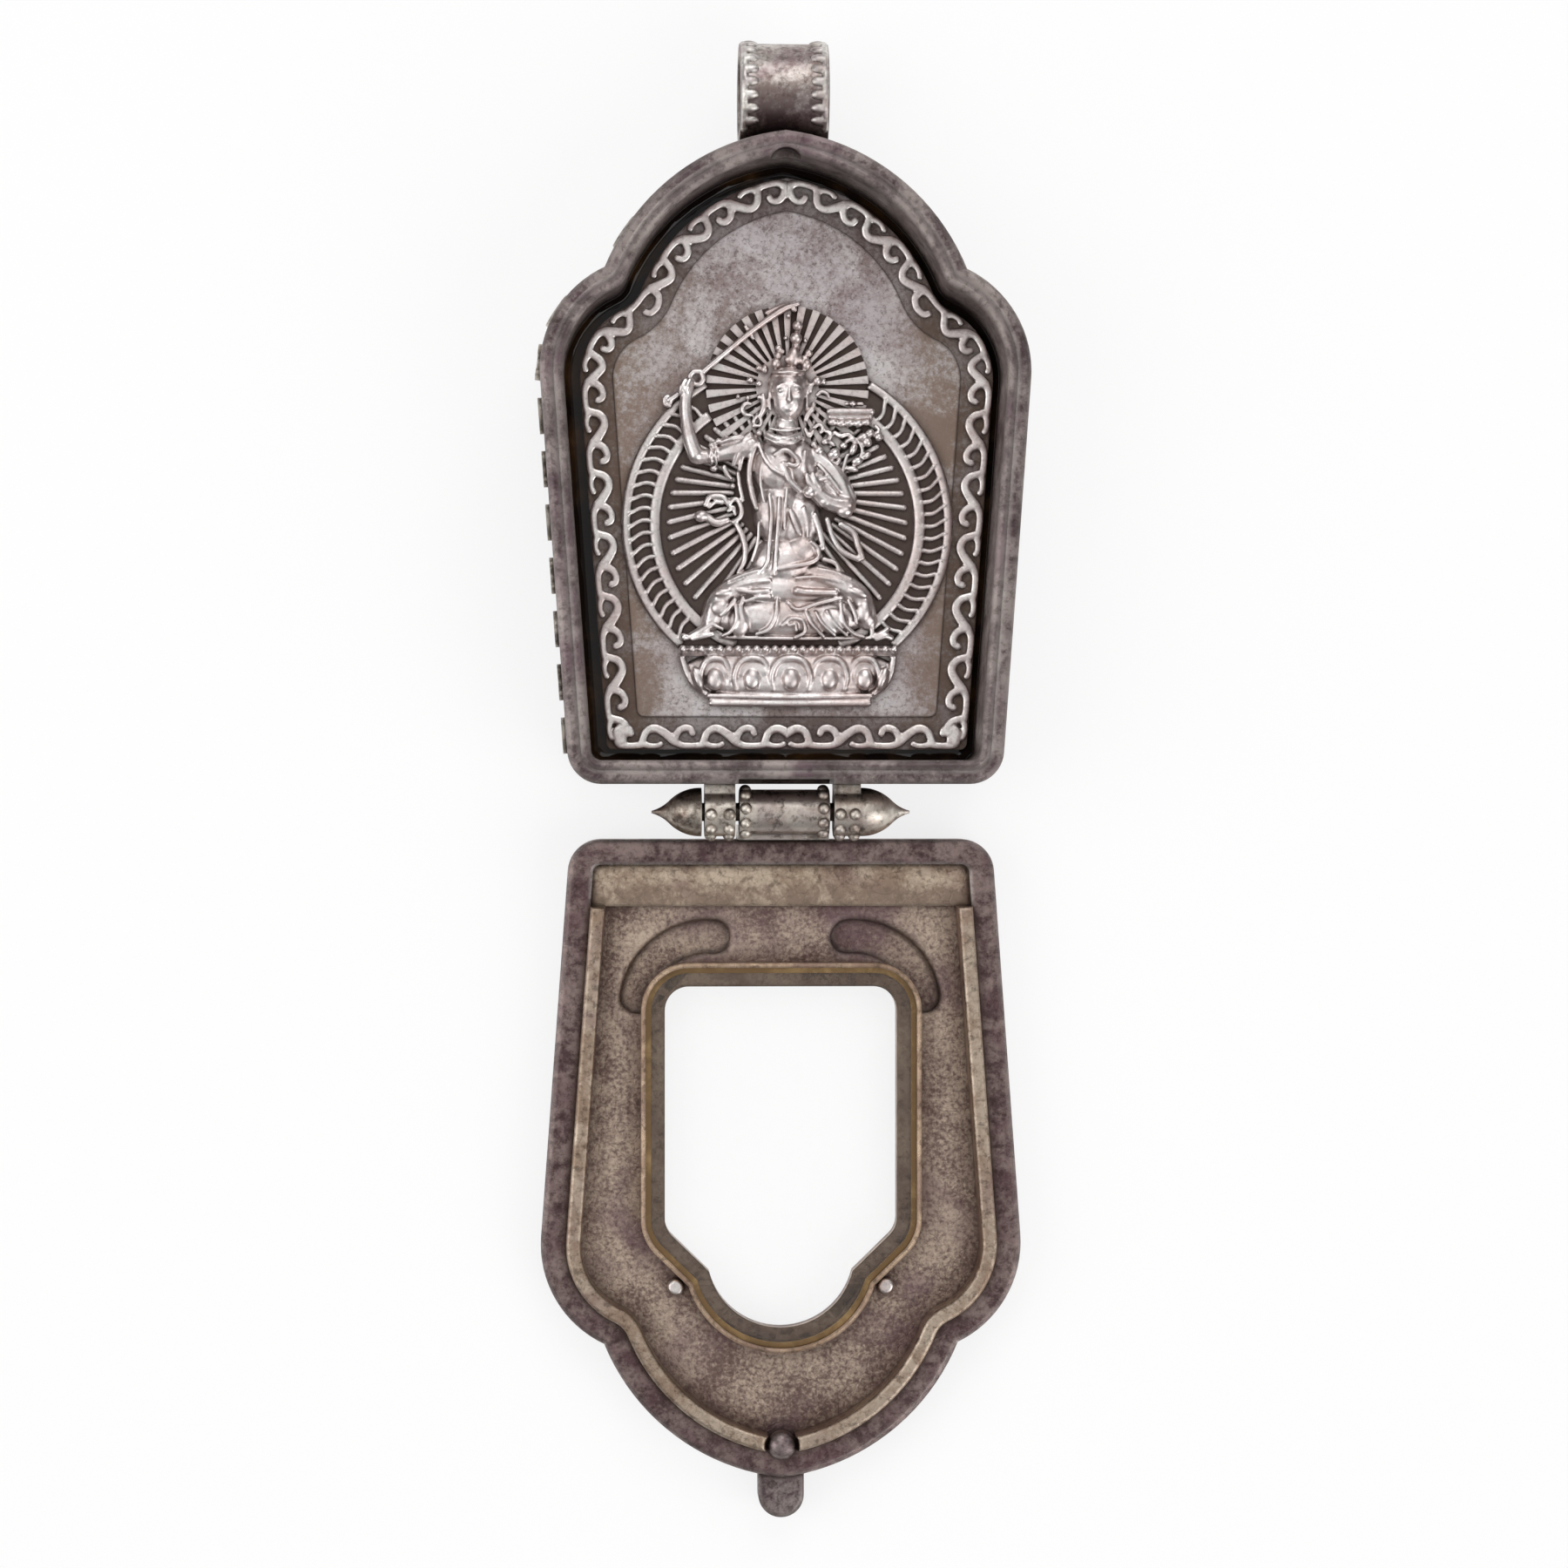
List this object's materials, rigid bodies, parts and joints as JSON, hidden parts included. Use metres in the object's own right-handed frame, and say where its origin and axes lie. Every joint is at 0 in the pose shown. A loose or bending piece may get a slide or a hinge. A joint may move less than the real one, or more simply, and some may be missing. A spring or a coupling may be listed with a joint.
{
  "type": "ghau amulet box",
  "caption": "Silver ghau amulet box lying open: arched case with a seated deity relief set in resin, hinged lid with a glass window, pull-out hinge pin and a hanging loop.",
  "frame": {"origin": "middle of the case's flat back, halfway between its hinge edge and its tip", "axes": "+Z out of the back through the mouth, +Y from the hinge towards the hanging loop, +X to the right; the open lid lies towards -Y"},
  "size_m": [0.041, 0.1227, 0.0125],
  "materials": {
    "aged_silver": "worn tarnished silver, brown with bright edges",
    "field_silver": "mottled grey-brown tarnish",
    "bright_silver": "rubbed silver with dark recesses",
    "gilt_silver": "tan tarnish with a golden cast",
    "resin": "glossy, near black",
    "pane_glass": "clear, polished",
    "amber_glue": "glossy amber"
  },
  "bodies": {
    "case": {"back_plate": "aged_silver", "side_wall": "aged_silver", "mouth_liner": "aged_silver", "wall_scrolls": "aged_silver", "bedding_resin": "resin", "relief_plaque": "field_silver", "scroll_border_right": "bright_silver", "scroll_border_left": "bright_silver", "aureole": "bright_silver", "nimbus": "bright_silver", "lotus_throne": "bright_silver", "seated_figure": "bright_silver", "sword": "bright_silver", "book_and_lotus": "bright_silver", "bail_band": "bright_silver", "bail_beads": "bright_silver", "left_knuckle": "bright_silver", "right_knuckle": "bright_silver", "knuckle_granules": "bright_silver"},
    "hinge_pin": {"hinge_pin": "bright_silver"},
    "lid": {"centre_knuckle": "bright_silver", "centre_knuckle_beads": "bright_silver", "lid_band": "aged_silver", "lid_plate": "gilt_silver", "lid_collar": "gilt_silver", "hinge_strip": "gilt_silver", "window_frame": "gilt_silver", "window_pane": "pane_glass", "pane_adhesive": "amber_glue", "window_pins": "bright_silver", "catch_bead": "bright_silver", "thumb_tab": "bright_silver"}
  },
  "joints": [
    {"name": "lid_hinge", "type": "hinge", "parent": "case", "child": "lid", "pos_m": [0, -0.0289, 0.0083], "axis": [-1, 0, 0], "range_deg": [-25, 180]},
    {"name": "pin_pull", "type": "slide", "parent": "case", "child": "hinge_pin", "axis": [-1, 0, 0], "range_m": [0, 0.0125]}
  ]
}
